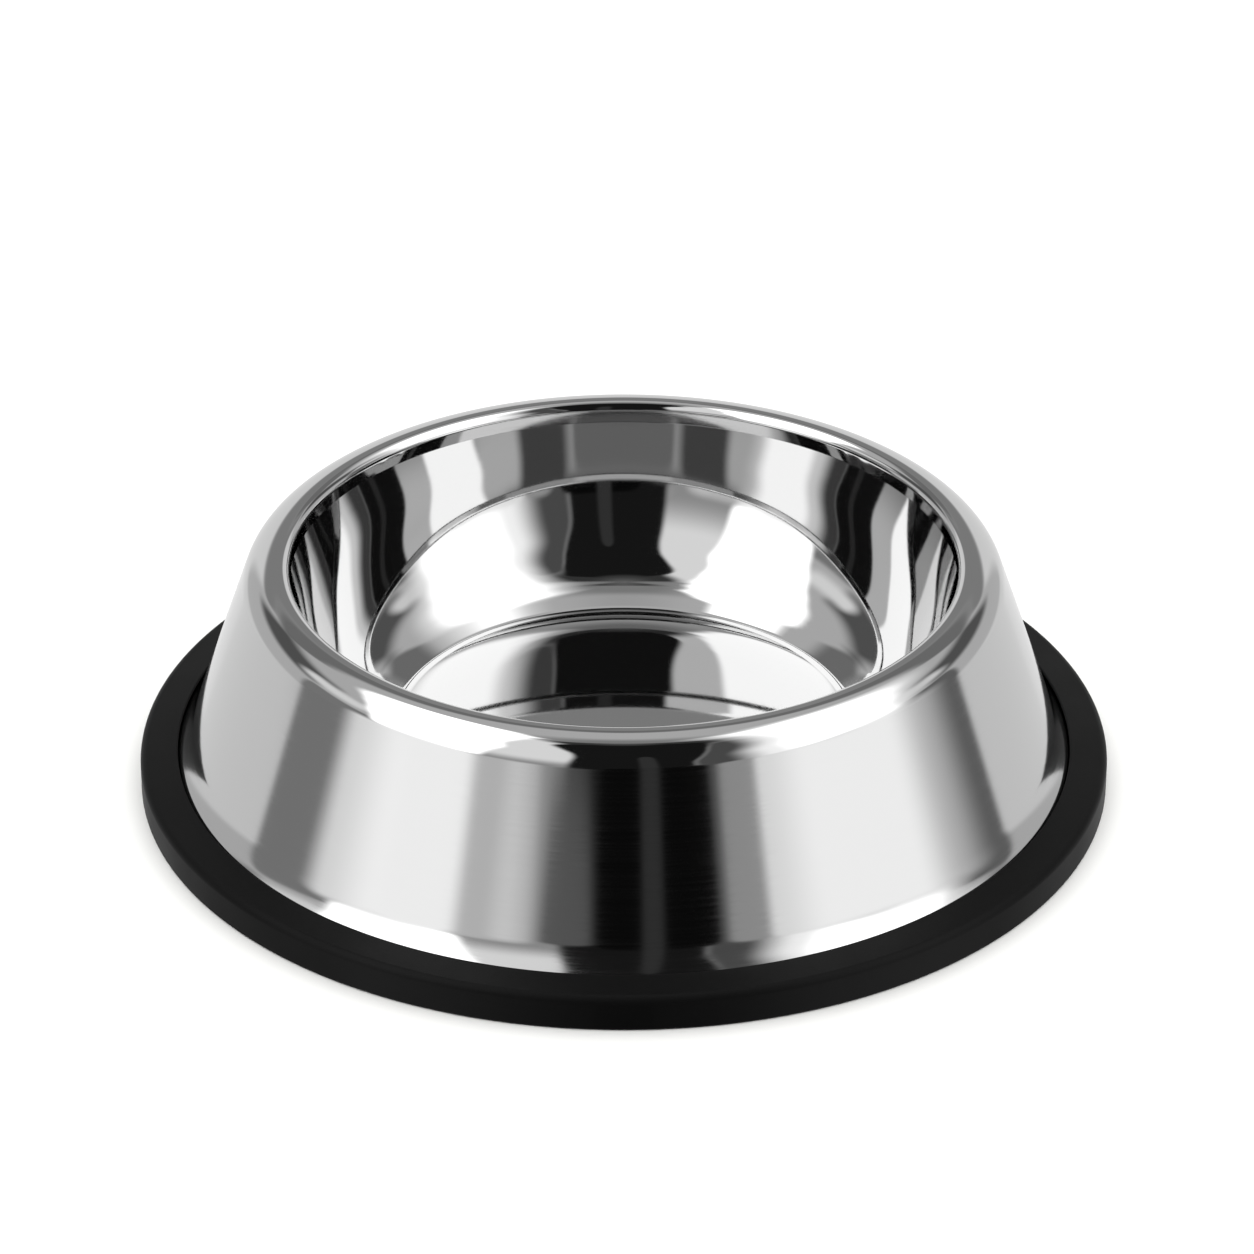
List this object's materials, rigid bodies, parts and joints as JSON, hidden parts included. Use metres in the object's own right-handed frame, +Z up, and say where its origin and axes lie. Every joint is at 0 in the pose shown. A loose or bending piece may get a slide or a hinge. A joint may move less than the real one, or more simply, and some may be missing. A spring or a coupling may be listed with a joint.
{
  "type": "pet bowl",
  "caption": "Round non-tip pet bowl: a polished steel food bowl hung in a flared steel skirt, which stands on a black rubber ring.",
  "frame": {"origin": "on the table, under the middle of the bowl", "axes": "+Z up, along the axis that the bowl is turned about; X and Y are level, and every direction round Z is alike"},
  "size_m": [0.2508, 0.2508, 0.0628],
  "materials": {
    "polished_steel": "polished",
    "brushed_steel": "satin",
    "black_rubber": "matte"
  },
  "bodies": {
    "root": {"inner_bowl": "polished_steel", "outer_skirt": "brushed_steel", "rubber_ring": "black_rubber"}
  },
  "joints": []
}
